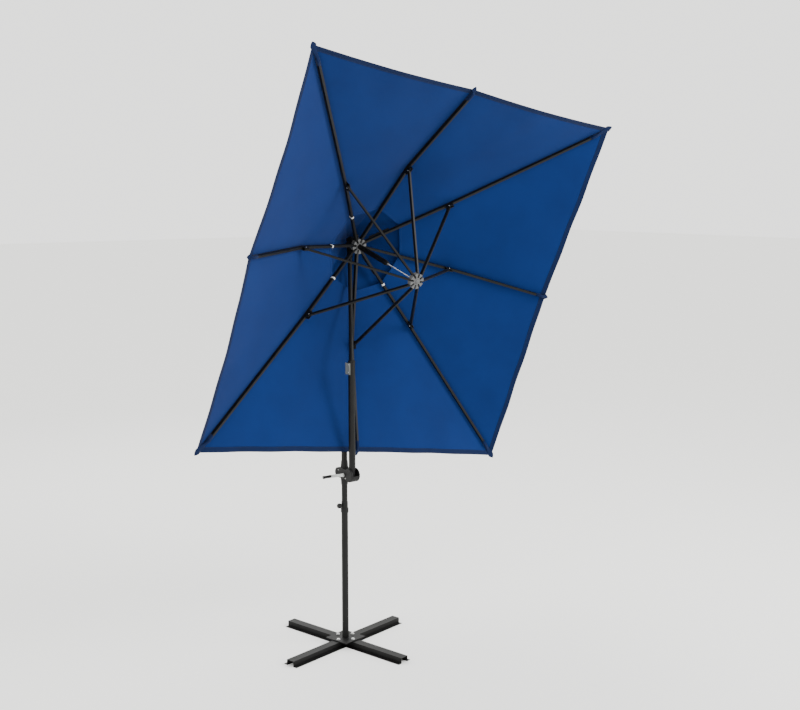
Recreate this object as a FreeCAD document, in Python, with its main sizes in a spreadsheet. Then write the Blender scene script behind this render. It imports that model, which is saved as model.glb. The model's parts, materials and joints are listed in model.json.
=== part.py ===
import FreeCAD, Part
import math
import os

# Cantilever parasol with a square canopy, a swinging boom and a cross base.
# Millimetres, +Z up. The origin is on the floor, on the axis of the mast.
# The boom swings out towards -Y. The canopy has a frame of its own: origin at the
# hub's pivot plane, Z along the canopy's axis towards its peak, and Y towards the
# edge that is uppermost while the canopy hangs beside the mast.

Vector = FreeCAD.Vector
Placement = FreeCAD.Placement
Rotation = FreeCAD.Rotation

doc = FreeCAD.newDocument("Parasol")
sheet = doc.addObject("Spreadsheet::Sheet", "Sizes")

SIZES = [
    # base
    ("barLength", 1060), ("ridgeWidth", 62), ("ridgeHeight", 38), ("barSheet", 3),
    ("barFlange", 26), ("baseTurn", 12.6), ("plateSide", 190), ("plateThick", 6),
    ("boltPitch", 140), ("boltRadius", 6), ("boltHead", 7), ("boltHeadRadius", 10),
    # clearances shared by several pieces
    ("softGap", 0.3), ("runFit", 0.05), ("slotGap", 1), ("plugFit", 0.1),
    # pole and mast
    ("poleOuter", 45), ("poleWall", 2.5), ("poleTop", 1000), ("collarWall", 4),
    ("collarHeight", 30), ("collarLow", 925), ("mastWall", 2), ("mastLow", 560),
    ("mastTop", 1396), ("mastFit", 0.05), ("capThick", 6), ("knobHeight", 975),
    ("knobRadius", 17), ("knobLength", 26), ("knobStem", 5),
    ("knobStand", 6),
    # crank housing
    ("housingLow", 1118), ("housingHigh", 1282), ("housingWide", 68), ("bulgeRadius", 46),
    ("backRadius", 34), ("backReach", 34), ("sleeveRadius", 29), ("shellWall", 4),
    ("housingRound", 5), ("swingLimit", 50), ("pivotReach", 92), ("pivotHeight", 1200),
    ("drumReach", 44), ("drumHeight", 1196),
    ("drumRadius", 14), ("drumLength", 30), ("axleRadius", 5), ("axleTail", 7), ("drumGap", 2),
    ("drumRim", 3), ("grooveDepth", 4), ("swingGap", 1.5), ("sleeveLip", 2.5), ("footMargin", 1),
    ("leverLength", 150), ("leverWide", 20), ("leverThick", 6), ("leverStand", 5),
    ("gripRadius", 11), ("gripLength", 62), ("gripGap", 1), ("leverDroop", 14), ("leverBoss", 2),
    ("crankCapRadius", 8.5), ("crankCapHeight", 4), ("screwRadius", 4.5), ("screwSink", 6),
    ("screwDepth", 12), ("threadRadius", 2.2), ("screwBack", 26), ("screwStep", 18),
    ("screwFront", 58), ("screwDrop", 26),
    # boom
    ("boomRadius", 22.5), ("boomWall", 2), ("boomTop", 1960), ("armRadius", 15),
    ("footHeight", 22), ("footGap", 4), ("plugReach", 30), ("elbowRise", 12), ("elbowSkin", 1.5),
    ("collarSkin", 1), ("socketSkin", 2.5), ("socketLength", 40),
    ("armWall", 1.8), ("footDrop", 24), ("pinRadius", 6), 
    ("bracketThick", 4), ("bracketWide", 40), ("rivetRadius", 4),
    ("rivetHead", 3), ("rivetEdge", 16), ("rivetPitch", 51.2), ("bracketBelow", 79.36),
    ("bracketPlate", 76.8), ("bracketLip", 8), ("bracketFront", 16),
    # head and hub
    ("hubX", 268), ("hubY", 206), ("hubZ", 2706), ("axisTilt", 17.2), ("canopyRoll", 9),
    ("hubRadius", 54), ("hubThick", 30), ("hubPivot", 40), ("hingePin", 3), ("pinSeat", 2),
    ("blockLong", 112), ("blockWide", 84), ("blockThick", 52), ("headKnobRadius", 15),
    ("headKnobLength", 24), ("blockRound", 12),
    ("headStem", 4), ("headStemLength", 15), ("headStemGap", 3), ("headKnobStand", 2),
    ("headKnobShift", 10), ("lugSkin", 4), ("lugReach", 28), ("armStart", 68), ("armRise", 38),
    ("armTurn", 22.5), ("armLug", 40),
    ("stubRadius", 18), ("stubWall", 2), ("stubLength", 318), ("plugLength", 22),
    ("plugTaper", 6), ("plugSeat", 14), ("cordRadius", 2.5), ("cordGap", 0.5), ("cordSeat", 10),
    # ribs, struts and runner
    ("ribWide", 15), ("ribDeep", 24), ("ribTube", 1.6), ("ribSlope", 23), ("ribInner", 650),
    ("midOuter", 700), ("midKink", 10), ("cornerOuter", 1110), ("cornerKink", -2.3),
    ("jointAlong", 640), ("jointDrop", 25), ("strutWide", 12), ("strutDeep", 20),
    ("cheekThick", 3), ("runnerDrop", 670), ("runnerRadius", 52), ("runnerThick", 30),
    ("runnerDome", 16), ("runnerDomeUp", 4), ("ribStart", 50), ("ribTail", 10), ("innerStart", 40),
    ("innerTail", 80), ("cheekLong", 56), ("cheekLow", 12), ("cheekSink", 6), ("cheekGap", 0.6),
    ("strutNeck", 12), ("strutSolid", 50), ("strutWall", 1.5), ("neckLong", 14), ("neckTrim", 1.5),
    ("eyeTrim", 1), ("ventStart", 50), ("ventStand", 6), ("linkLong", 16), ("linkWide", 6), ("linkTail", 20),
    ("eyeEnd", 9), ("ventArmLength", 150), ("ventArmRadius", 8),
    # fabric
    ("fabricStand", 7.4), ("fabricThick", 2.5), ("ventRadius", 300), ("canopySide", 2500),
    ("topRadius", 400), ("topPeak", 150), ("topLift", 26), ("postRadius", 6), ("seamGap", 0.2),
    ("finialDisc", 14), ("finialThick", 7), ("finialBall", 11), ("finialUp", 13),
]
for rowNumber, (alias, value) in enumerate(SIZES, 1):
    sheet.set("A%d" % rowNumber, alias)
    sheet.set("B%d" % rowNumber, str(value))
    sheet.setAlias("B%d" % rowNumber, alias)
doc.recompute()


def size(alias):
    return float(getattr(sheet, alias))


X_AXIS, Y_AXIS, Z_AXIS = Vector(1, 0, 0), Vector(0, 1, 0), Vector(0, 0, 1)
ALONG_X = Rotation(Y_AXIS, 90)
nodes = []


def keep(obj, label):
    obj.Label = label
    nodes.append(obj)
    return obj


def bind(obj, **links):
    for name, formula in links.items():
        obj.setExpression(name, formula)
    return obj


def place(x=0, y=0, z=0, turn=None):
    return Placement(Vector(x, y, z), turn or Rotation())


def cylinder(radius, height, where, name="Cylinder"):
    obj = doc.addObject("Part::Cylinder", name)
    obj.Placement = where
    return bind(obj, Radius=radius, Height=height)


def box(length, width, height, where, name="Box"):
    obj = doc.addObject("Part::Box", name)
    obj.Placement = where
    return bind(obj, Length=length, Width=width, Height=height)


def cut(base, tool, name="Cut"):
    obj = doc.addObject("Part::Cut", name)
    obj.Base, obj.Tool = base, tool
    return obj


def fuse(shapes, name="Fuse"):
    obj = doc.addObject("Part::MultiFuse", name)
    obj.Shapes = shapes
    return obj


# A round tube along its own Z, from radius and height formulas.
def tube(outer, inner, height, where):
    wall = cylinder(outer, height, where)
    bore = cylinder(inner, height + " + 2", where.multiply(place(z=-1)))
    return cut(wall, bore)


def feature(label, shape):
    obj = doc.addObject("Part::Feature", "Shape")
    obj.Shape = shape
    return keep(obj, label)


# base
turnBase = Rotation(Z_AXIS, size("baseTurn"))
barHalf = size("ridgeWidth") / 2 + size("barFlange")


# A hat-section rail along X: a hollow ridge with a flange along each side.
def hatBar(start, length, turn):
    def at(x, y, z):
        return Placement(Vector(), turn).multiply(place(x, y, z))
    low = -size("ridgeWidth") / 2
    ridge = box(length, "Sizes.ridgeWidth", "Sizes.ridgeHeight", at(start, low, 0))
    hollow = box(length + " + 2", "Sizes.ridgeWidth - 2 * Sizes.barSheet",
                 "Sizes.ridgeHeight - Sizes.barSheet",
                 at(start - 1, low + size("barSheet"), 0))
    sides = [box(length, "Sizes.barFlange", "Sizes.barSheet", at(start, y, 0))
             for y in (-barHalf, size("ridgeWidth") / 2)]
    return fuse([cut(ridge, hollow)] + sides)


keep(hatBar(-size("barLength") / 2, "Sizes.barLength",
            turnBase.multiply(Rotation(Z_AXIS, 90))), "base_bar_long")
armFormula = "Sizes.barLength / 2 - Sizes.ridgeWidth / 2 - Sizes.barFlange"
keep(doc.addObject("Part::Compound", "CrossArms"), "base_bar_arms").Links = [
    hatBar(barHalf, armFormula, turnBase),
    hatBar(barHalf, armFormula, turnBase.multiply(Rotation(Z_AXIS, 180)))]

plateLow = size("ridgeHeight")
plateTop = plateLow + size("plateThick")
plateHalf = size("plateSide") / 2
plate = box("Sizes.plateSide", "Sizes.plateSide", "Sizes.plateThick",
            Placement(Vector(), turnBase).multiply(place(-plateHalf, -plateHalf, plateLow)))
boltReach = size("boltPitch") / 2
boltSpots = [(boltReach, 0), (0, boltReach), (-boltReach, 0), (0, -boltReach)]
boltHoles = [cylinder("Sizes.boltRadius", "Sizes.plateThick + 2",
                      Placement(Vector(), turnBase).multiply(place(x, y, plateLow - 1)))
             for x, y in boltSpots]
keep(cut(plate, fuse(boltHoles)), "base_flange")
heads = []
for x, y in boltSpots:
    head = Part.makeCylinder(size("boltHeadRadius"), size("boltHead"), Vector(x, y, plateTop))
    shank = Part.makeCylinder(size("boltRadius") - size("softGap"), size("plateThick"),
                              Vector(x, y, plateLow))
    heads.append(head.fuse(shank))
bolts = feature("base_bolts", Part.makeCompound(heads))
bolts.Placement = Placement(Vector(), turnBase)

# pole, mast and lock
pole = tube("Sizes.poleOuter / 2", "Sizes.poleOuter / 2 - Sizes.poleWall",
            "Sizes.poleTop - Sizes.ridgeHeight - Sizes.plateThick", place(z=plateTop))
stemTurn = Rotation(Y_AXIS, -90)
stemHole = cylinder("Sizes.knobStem + Sizes.runFit", "Sizes.poleOuter",
                    place(z=size("knobHeight"), turn=stemTurn))
keep(cut(pole, stemHole), "base_pole")
keep(tube("Sizes.poleOuter / 2 + Sizes.collarWall", "Sizes.poleOuter / 2", "Sizes.collarHeight",
          place(z=size("collarLow"))), "pole_collar")
mastRadius = "Sizes.poleOuter / 2 - Sizes.poleWall - Sizes.mastFit"
mastRadiusValue = size("poleOuter") / 2 - size("poleWall") - size("mastFit")
keep(tube(mastRadius, mastRadius + " - Sizes.mastWall", "Sizes.mastTop - Sizes.mastLow",
          place(z=size("mastLow"))), "mast_tube")
capDisc = cylinder(mastRadius + " + 1", "Sizes.capThick", place(z=size("mastTop")))
capPlug = cylinder(mastRadius + " - Sizes.mastWall - Sizes.runFit", "2 * Sizes.capThick",
                   place(z=size("mastTop") - 2 * size("capThick")))
keep(fuse([capDisc, capPlug]), "mast_cap")
stem = cylinder("Sizes.knobStem", "Sizes.poleWall + Sizes.mastFit + Sizes.knobStand - Sizes.softGap",
                place(-mastRadiusValue - size("softGap"), 0, size("knobHeight"), stemTurn))
grip = cylinder("Sizes.knobRadius", "Sizes.knobLength",
                place(-size("poleOuter") / 2 - size("knobStand"), 0, size("knobHeight"), stemTurn))
keep(fuse([stem, grip]), "lock_knob")

# crank housing
pivot = Vector(0, -size("pivotReach"), size("pivotHeight"))
drumAt = Vector(0, -size("drumReach"), size("drumHeight"))
halfWide = size("housingWide") / 2
boomSlot = size("boomRadius") + size("swingGap")


def rod(radius, x0, x1, y, z):
    return Part.makeCylinder(radius, x1 - x0, Vector(x0, y, z), X_AXIS)


def slab(x0, x1, y0, y1, z0, z1):
    return Part.makeBox(x1 - x0, y1 - y0, z1 - z0, Vector(x0, y0, z0))


lipRadius = mastRadiusValue + size("sleeveLip")
sleeveLow = Part.makeCone(lipRadius, size("sleeveRadius"), pivot.z - size("housingLow"),
                          Vector(0, 0, size("housingLow")))
sleeveHigh = Part.makeCone(size("sleeveRadius"), lipRadius, size("housingHigh") - pivot.z,
                           Vector(0, 0, pivot.z))
sleeve = sleeveLow.fuse(sleeveHigh)
bridge = slab(-halfWide, halfWide, pivot.y, size("backReach"), pivot.z - size("backRadius"),
              pivot.z + size("backRadius"))
outside = rod(size("bulgeRadius"), -halfWide, halfWide, pivot.y, pivot.z)
outside = outside.fuse([rod(size("backRadius"), -halfWide, halfWide, size("backReach"), pivot.z),
                        bridge, sleeve])
outside = outside.removeSplitter()
sameFace = 0.01
rounded = [edge for edge in outside.Edges
           if abs(abs(edge.CenterOfMass.x) - halfWide) < sameFace and edge.Length > size("backRadius")]
outside = outside.makeFillet(size("housingRound"), rounded)
footCorner = math.hypot(size("boomRadius"), size("footDrop") - size("footGap"))
footRoom = rod(footCorner + size("footMargin"), -boomSlot, boomSlot, pivot.y, pivot.z)
reach = 2 * size("bulgeRadius")
swingRoom = slab(-boomSlot, boomSlot, pivot.y - reach, pivot.y + boomSlot, pivot.z, pivot.z + reach)
leanRoom = slab(-boomSlot, boomSlot, -boomSlot, boomSlot, 0, reach)
leanRoom.Placement = Placement(pivot, Rotation(X_AXIS, size("swingLimit")))
drumHalf = size("drumLength") / 2
drumRoom = rod(size("drumRadius") + size("drumGap"), -drumHalf - size("slotGap"), drumHalf + size("slotGap"),
               drumAt.y, drumAt.z)
mastHole = Part.makeCylinder(mastRadiusValue + size("runFit"), size("housingHigh") - size("housingLow") + 2,
                             Vector(0, 0, size("housingLow") - 1))
pinHole = rod(size("pinRadius") + size("runFit"), -halfWide + size("shellWall"), halfWide - size("shellWall"),
              pivot.y, pivot.z)
axleEnd = drumHalf + size("axleTail")
axleHole = rod(size("axleRadius") + size("runFit"), -halfWide - 1, axleEnd + size("slotGap"),
               drumAt.y, drumAt.z)
screwSpots = [(size("screwBack"), pivot.z + size("screwStep")),
              (size("screwBack"), pivot.z - size("screwStep")),
              (-size("screwFront"), pivot.z - size("screwDrop"))]
sinkEnd = -halfWide + size("screwSink")
screwHoles = [rod(size("screwRadius"), -halfWide - 1, sinkEnd, y, z) for y, z in screwSpots]
screwThreads = [rod(size("threadRadius"), -halfWide, size("screwDepth"), y, z) for y, z in screwSpots]
rooms = [footRoom, swingRoom, leanRoom, drumRoom]
housing = outside.cut(rooms + [mastHole, pinHole, axleHole] + screwHoles + screwThreads)
farOut = 2 * size("housingHigh")
feature("housing_left", housing.common(slab(-farOut, 0, -farOut, farOut, 0, farOut)))
feature("housing_right", housing.common(slab(0, farOut, -farOut, farOut, 0, farOut)))
screws = []
for y, z in screwSpots:
    screwHead = rod(size("screwRadius") - size("softGap"), -halfWide + 1, sinkEnd, y, z)
    screwShank = rod(size("threadRadius") - size("plugFit"), sinkEnd,
                     size("screwDepth") - size("cordGap"), y, z)
    screws.append(screwHead.fuse(screwShank))
feature("housing_screws", Part.makeCompound(screws))

drum = rod(size("drumRadius"), -drumHalf, drumHalf, drumAt.y, drumAt.z)
groove = rod(size("drumRadius") + 1, -drumHalf + size("drumRim"), drumHalf - size("drumRim"),
             drumAt.y, drumAt.z)
groove = groove.cut(rod(size("drumRadius") - size("grooveDepth"), -drumHalf, drumHalf, drumAt.y, drumAt.z))
axleStart = -halfWide - size("leverStand") - size("leverThick")
axle = rod(size("axleRadius"), axleStart, axleEnd, drumAt.y, drumAt.z)
feature("cord_drum", drum.cut([groove, axle]))
keep(cylinder("Sizes.axleRadius",
              "Sizes.housingWide / 2 + Sizes.leverStand + Sizes.leverThick"
              " + Sizes.drumLength / 2 + Sizes.axleTail",
              place(axleStart, drumAt.y, drumAt.z, ALONG_X)), "crank_axle")

leverOut = -halfWide - size("leverStand")
droop = math.radians(size("leverDroop"))
leverEnd = Vector(0, drumAt.y + size("leverLength") * math.cos(droop),
                  drumAt.z - size("leverLength") * math.sin(droop))
gripStart = leverOut - size("leverThick")
leverHalf = size("leverWide") / 2
lever = slab(gripStart, leverOut, 0, size("leverLength"), -leverHalf, leverHalf)
lever = lever.fuse([rod(leverHalf + size("leverBoss"), gripStart, leverOut, 0, 0),
                    rod(leverHalf, gripStart, leverOut, size("leverLength"), 0)])
lever.Placement = place(0, drumAt.y, drumAt.z, Rotation(X_AXIS, -size("leverDroop")))
gripEnd = gripStart - size("gripGap") - size("gripLength")
gripPin = rod(size("axleRadius"), gripEnd - size("gripGap"), gripStart, leverEnd.y, leverEnd.z)
lever = lever.cut(axle).fuse(gripPin)
feature("crank_lever", lever)
keep(cylinder("Sizes.crankCapRadius", "Sizes.crankCapHeight",
              place(gripStart - size("crankCapHeight"), drumAt.y, drumAt.z, ALONG_X)), "crank_screw")
keep(tube("Sizes.gripRadius", "Sizes.axleRadius + Sizes.runFit", "Sizes.gripLength",
          place(gripEnd, leverEnd.y, leverEnd.z, ALONG_X)), "crank_grip")

# canopy frame
tilt = math.radians(size("axisTilt"))
hubAt = Vector(size("hubX"), size("hubY"), size("hubZ"))
canopyTurn = Rotation(Vector(-1, 0, 0), Vector(0, -math.sin(tilt), math.cos(tilt)),
                      Vector(0, math.cos(tilt), math.sin(tilt)), "ZXY")
canopyFrame = Placement(hubAt, canopyTurn.multiply(Rotation(Z_AXIS, size("canopyRoll"))))


def ribFrame(index):
    return canopyFrame.multiply(Placement(Vector(), Rotation(Z_AXIS, 45 * index)))


# boom
footLow = pivot.z - size("footDrop") + size("footGap")
footTop = pivot.z + size("footHeight")
boomTube = tube("Sizes.boomRadius", "Sizes.boomRadius - Sizes.boomWall",
                "Sizes.boomTop - Sizes.pivotHeight - Sizes.footHeight", place(0, pivot.y, footTop))
keep(boomTube, "boom_lower")
foot = Part.makeCylinder(size("boomRadius"), footTop - footLow, Vector(0, pivot.y, footLow))
plugRadius = size("boomRadius") - size("boomWall") - size("plugFit")
plug = Part.makeCylinder(plugRadius, size("plugReach"), Vector(0, pivot.y, footTop))
footHole = rod(size("pinRadius") + size("runFit"), -halfWide, halfWide, pivot.y, pivot.z)
feature("boom_foot", foot.fuse(plug).cut(footHole))
pinHalf = halfWide - size("shellWall") - size("softGap")
keep(cylinder("Sizes.pinRadius", "Sizes.housingWide - 2 * Sizes.shellWall - 2 * Sizes.softGap",
              place(-pinHalf, pivot.y, pivot.z, ALONG_X)), "boom_pivot_pin")

armAngle = math.radians(270 + size("armTurn"))
armTop = canopyFrame.multVec(Vector(size("armStart") * math.cos(armAngle),
                                    size("armStart") * math.sin(armAngle), size("armRise")))
armLow = Vector(0, pivot.y, size("boomTop") + size("elbowRise"))
armAlong = armTop - armLow
armPlace = Placement(armLow, Rotation(Z_AXIS, armAlong))
armLength = armAlong.Length
armSolid = Part.makeCylinder(size("armRadius"), armLength)
armBore = Part.makeCylinder(size("armRadius") - size("armWall"), armLength + 2, Vector(0, 0, -1))
arm = feature("boom_upper", armSolid.cut(armBore))
arm.Placement = armPlace

elbow = Part.makeSphere(size("armRadius") + size("elbowSkin"), armLow)
elbow = elbow.fuse(Part.makeCylinder(size("boomRadius") + size("collarSkin"), size("elbowRise"),
                                     Vector(0, pivot.y, size("boomTop"))))
elbow = elbow.fuse(Part.makeCylinder(plugRadius, size("plugReach"),
                                     Vector(0, pivot.y, size("boomTop") - size("plugReach"))))
armSocket = Part.makeCylinder(size("armRadius") + size("socketSkin"), size("socketLength"))
armSocket.Placement = armPlace
armHole = Part.makeCylinder(size("armRadius"), armLength)
armHole.Placement = armPlace
feature("boom_elbow", elbow.fuse(armSocket).cut(armHole))

bracketLow = size("boomTop") - size("bracketBelow")
bracketHigh = bracketLow + size("bracketPlate")
boomBack = pivot.y + size("boomRadius")
backPlate = slab(-size("bracketWide") / 2, size("bracketWide") / 2, boomBack,
                 boomBack + size("bracketThick"), bracketLow, bracketHigh)
rivetFace = -size("boomRadius") - size("bracketThick")
sidePlate = slab(rivetFace, -size("boomRadius"), pivot.y - size("bracketFront"),
                 boomBack + size("bracketThick") + size("bracketLip"), bracketLow, bracketHigh)
feature("boom_bracket", backPlate.fuse(sidePlate))
rivets = [rod(size("rivetRadius"), rivetFace - size("rivetHead"), rivetFace, pivot.y, bracketLow + step)
          for step in (size("rivetEdge"), size("rivetEdge") + size("rivetPitch"))]
feature("bracket_rivets", Part.makeCompound(rivets))

# head, hub and stub
block = Part.makeBox(size("blockLong"), size("blockWide"), size("blockThick"),
                     Vector(-size("blockLong") / 2, -size("blockWide") / 2, size("hubThick") / 2))
blockEdges = [edge for edge in block.Edges if edge.Length < size("blockThick") + 1]
block = block.makeFillet(size("blockRound"), blockEdges)
armInCanopy = canopyFrame.inverse().multiply(armPlace)
lug = Part.makeCylinder(size("armRadius") + size("lugSkin"), size("armLug") + size("lugReach"),
                        Vector(0, 0, armLength - size("armLug")))
lug.Placement = armInCanopy.multiply(lug.Placement)
armCut = Part.makeCylinder(size("armRadius"), armLength)
armCut.Placement = armInCanopy
knobSpot = Vector(size("headKnobShift"), size("blockWide") / 2, size("hubThick") / 2 + size("blockThick") / 2)
holeDeep = size("headStemLength") + size("headStemGap")
knobHole = Part.makeCylinder(size("headStem") + size("runFit"), holeDeep + size("headKnobStand"),
                             knobSpot - Vector(0, holeDeep, 0), Y_AXIS)
head = feature("head_block", block.fuse(lug).cut([armCut, knobHole]))
head.Placement = canopyFrame
headKnob = Part.makeCylinder(size("headStem"), size("headStemLength") + size("headKnobStand"),
                             knobSpot - Vector(0, size("headStemLength"), 0), Y_AXIS)
headKnob = headKnob.fuse(Part.makeCylinder(size("headKnobRadius"), size("headKnobLength"),
                                           knobSpot + Vector(0, size("headKnobStand"), 0), Y_AXIS))
feature("head_knob", headKnob).Placement = canopyFrame


# A disc about Z with eight open radial slots, and a hinge pin across each if pinned.
def slotted(radius, thick, slotWide, pinned):
    disc = Part.makeCylinder(radius, thick, Vector(0, 0, -thick / 2))
    eyeRoom = math.hypot(size("eyeEnd"), size("ribDeep") / 2) + size("slotGap")
    slots, pins = [], []
    for index in range(8):
        turn = Placement(Vector(), Rotation(Z_AXIS, 45 * index))
        slot = Part.makeBox(radius, slotWide, thick + 2,
                            Vector(size("hubPivot") - eyeRoom, -slotWide / 2, -thick / 2 - 1))
        slot.Placement = turn
        slots.append(slot)
        pin = Part.makeCylinder(size("hingePin"), slotWide + 2 * size("pinSeat"),
                                Vector(size("hubPivot"), -slotWide / 2 - size("pinSeat"), 0), Y_AXIS)
        pin.Placement = turn
        pins.append(pin)
    disc = disc.cut(slots)
    return disc.fuse(pins) if pinned else disc


hub = feature("hub", slotted(size("hubRadius"), size("hubThick"), size("ribWide") + size("slotGap"), True))
hub.Placement = canopyFrame
stubTop = -size("hubThick") / 2
stub = tube("Sizes.stubRadius", "Sizes.stubRadius - Sizes.stubWall", "Sizes.stubLength",
            canopyFrame.multiply(place(z=stubTop - size("stubLength"))))
keep(stub, "stub_tube")
plugTop = stubTop - size("stubLength")
plugShape = Part.makeCone(size("stubRadius") - size("plugTaper"), size("stubRadius"), size("plugLength"),
                          Vector(0, 0, plugTop - size("plugLength")))
plugShape = plugShape.fuse(Part.makeCylinder(size("stubRadius") - size("stubWall") - size("plugFit"),
                                             size("plugSeat"), Vector(0, 0, plugTop)))
plugShape = plugShape.cut(Part.makeCylinder(size("cordRadius") + size("cordGap"),
                                            size("plugLength") + size("plugSeat") + 2,
                                            Vector(0, 0, plugTop - size("plugLength") - 1)))
feature("stub_plug", plugShape).Placement = canopyFrame
runnerTop = -size("runnerDrop") + size("runnerThick") / 2
runner = slotted(size("runnerRadius"), size("runnerThick"), size("strutWide") + 2 * size("slotGap"), False)
runner = runner.fuse(Part.makeSphere(size("runnerDome"),
                                     Vector(0, 0, -size("runnerThick") / 2 + size("runnerDomeUp"))))
feature("runner", runner).Placement = canopyFrame.multiply(place(z=-size("runnerDrop")))
cordFormula = ("Sizes.runnerDrop - Sizes.runnerThick / 2 - Sizes.hubThick / 2"
               " - Sizes.stubLength + Sizes.cordSeat")
cord = cylinder("Sizes.cordRadius", cordFormula, canopyFrame.multiply(place(z=runnerTop)))
keep(cord, "runner_cord")

# ribs and struts
slope = math.radians(size("ribSlope"))


# A point of the rib's own line, as radius and height in the canopy frame.
def ribPoint(along, drop):
    return (size("hubPivot") + along * math.cos(slope) - drop * math.sin(slope),
            -along * math.sin(slope) - drop * math.cos(slope))


jointRadius, jointHeight = ribPoint(size("jointAlong"), size("jointDrop"))
strutRun = jointRadius - size("hubPivot")
strutFall = size("runnerDrop") + jointHeight
strutLength = math.hypot(strutRun, strutFall)
strutAngle = math.degrees(math.atan2(strutFall, strutRun))
eyeHole = Part.makeCylinder(size("hingePin") + size("runFit"), 2 * size("ribWide"),
                            Vector(0, -size("ribWide"), 0), Y_AXIS)


# A rectangular tube bent once at its strut bracket, along X from its pivot.
def ribShape(outerLength, kink):
    wide, deep, wall = size("ribWide"), size("ribDeep"), size("ribTube")

    def bar(length, start, w, d):
        return Part.makeBox(length, w, d, Vector(start, -w / 2, -d / 2))
    inner = bar(size("ribInner") + size("eyeEnd"), -size("eyeEnd"), wide, deep)
    outer = bar(outerLength, 0, wide, deep)
    bend = Placement(Vector(size("ribInner"), 0, 0), Rotation(Y_AXIS, kink))
    outer.Placement = bend
    solid = inner.fuse(outer).removeSplitter()
    hollow = bar(outerLength - size("ribStart") + size("ribTail"), size("ribStart"),
                 wide - 2 * wall, deep - 2 * wall)
    hollow.Placement = bend
    innerHollow = bar(size("ribInner") - size("innerStart") - size("innerTail"), size("innerStart"),
                      wide - 2 * wall, deep - 2 * wall)
    solid = solid.cut([hollow, innerHollow])
    cheekLow = -size("jointDrop") - size("cheekLow")
    cheekGap = size("strutWide") / 2 + size("cheekGap")
    for side in (cheekGap, -cheekGap - size("cheekThick")):
        cheek = Part.makeBox(size("cheekLong"), size("cheekThick"), -deep / 2 - cheekLow + size("cheekSink"),
                             Vector(size("jointAlong") - size("cheekLong") / 2, side, cheekLow))
        solid = solid.fuse(cheek)
    pinReach = cheekGap + size("cheekThick") + size("pinSeat")
    pin = Part.makeCylinder(size("hingePin"), 2 * pinReach,
                            Vector(size("jointAlong"), -pinReach, -size("jointDrop")), Y_AXIS)
    return solid.fuse(pin).cut(eyeHole)


# A strut along X from its rib pin to the runner, with a round eye at each end.
def strutShape():
    wide, deep = size("strutWide"), size("strutDeep")
    end = size("eyeEnd")
    wall, neckHalf = size("strutWall"), end - size("neckTrim")
    body = Part.makeBox(strutLength - 2 * size("strutNeck"), wide, deep,
                        Vector(size("strutNeck"), -wide / 2, -deep / 2))
    hollow = Part.makeBox(strutLength - 2 * size("strutSolid"), wide - 2 * wall, deep - 2 * wall,
                          Vector(size("strutSolid"), -wide / 2 + wall, -deep / 2 + wall))
    eyes = [Part.makeCylinder(end - size("eyeTrim"), wide, Vector(x, -wide / 2, 0), Y_AXIS)
            for x in (0, strutLength)]
    necks = [Part.makeBox(size("neckLong"), wide, 2 * neckHalf, Vector(x, -wide / 2, -neckHalf))
             for x in (0, strutLength - size("neckLong"))]
    return body.fuse(eyes + necks).cut([eyeHole, hollow])


for index in range(8):
    corner = index % 2 == 1
    where = ribFrame(index).multiply(place(size("hubPivot"), 0, 0, Rotation(Y_AXIS, size("ribSlope"))))
    outerLength, kink = ("cornerOuter", "cornerKink") if corner else ("midOuter", "midKink")
    shape = ribShape(size(outerLength), size(kink))
    feature("rib_%d" % (index + 1), shape).Placement = where
    strutPlace = ribFrame(index).multiply(place(jointRadius, 0, jointHeight,
                                                Rotation(Y_AXIS, 180 - strutAngle)))
    feature("strut_%d" % (index + 1), strutShape()).Placement = strutPlace

for index, name in ((3, "vent_arm_upper"), (5, "vent_arm_lower")):
    ribFace = size("ribDeep") / 2
    lift = ribFace + size("ventArmRadius") + size("ventStand")
    ventTube = Part.makeCylinder(size("ventArmRadius"), size("ventArmLength"),
                                 Vector(size("ventStart"), 0, lift), X_AXIS)
    linkStart = size("ventStart") + size("ventArmLength") - size("linkTail")
    link = Part.makeBox(size("linkLong"), size("linkWide"), lift - ribFace,
                        Vector(linkStart, -size("linkWide") / 2, ribFace))
    where = ribFrame(index).multiply(place(size("hubPivot"), 0, 0, Rotation(Y_AXIS, size("ribSlope"))))
    feature(name, ventTube.fuse(link)).Placement = where

# fabric
hemSide = size("canopySide") / 2


fabricLift = size("ribDeep") / 2 + size("fabricStand")


# Points of the fabric over one rib, as (radius, height): vent edge, bend and hem.
def fabricStations(index):
    corner = index % 2 == 1
    hemRadius = hemSide * math.sqrt(2) if corner else hemSide
    outer = slope + math.radians(size("cornerKink") if corner else size("midKink"))
    ventHeight = -(size("ventRadius") - size("hubPivot")) * math.tan(slope) + fabricLift
    bendRadius, bendHeight = ribPoint(size("ribInner"), 0)
    bendHeight += fabricLift
    return [(size("ventRadius"), ventHeight), (bendRadius, bendHeight),
            (hemRadius, bendHeight - (hemRadius - bendRadius) * math.tan(outer))]


def polar(radius, degrees, height):
    angle = math.radians(degrees)
    return Vector(radius * math.cos(angle), radius * math.sin(angle), height)


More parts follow.
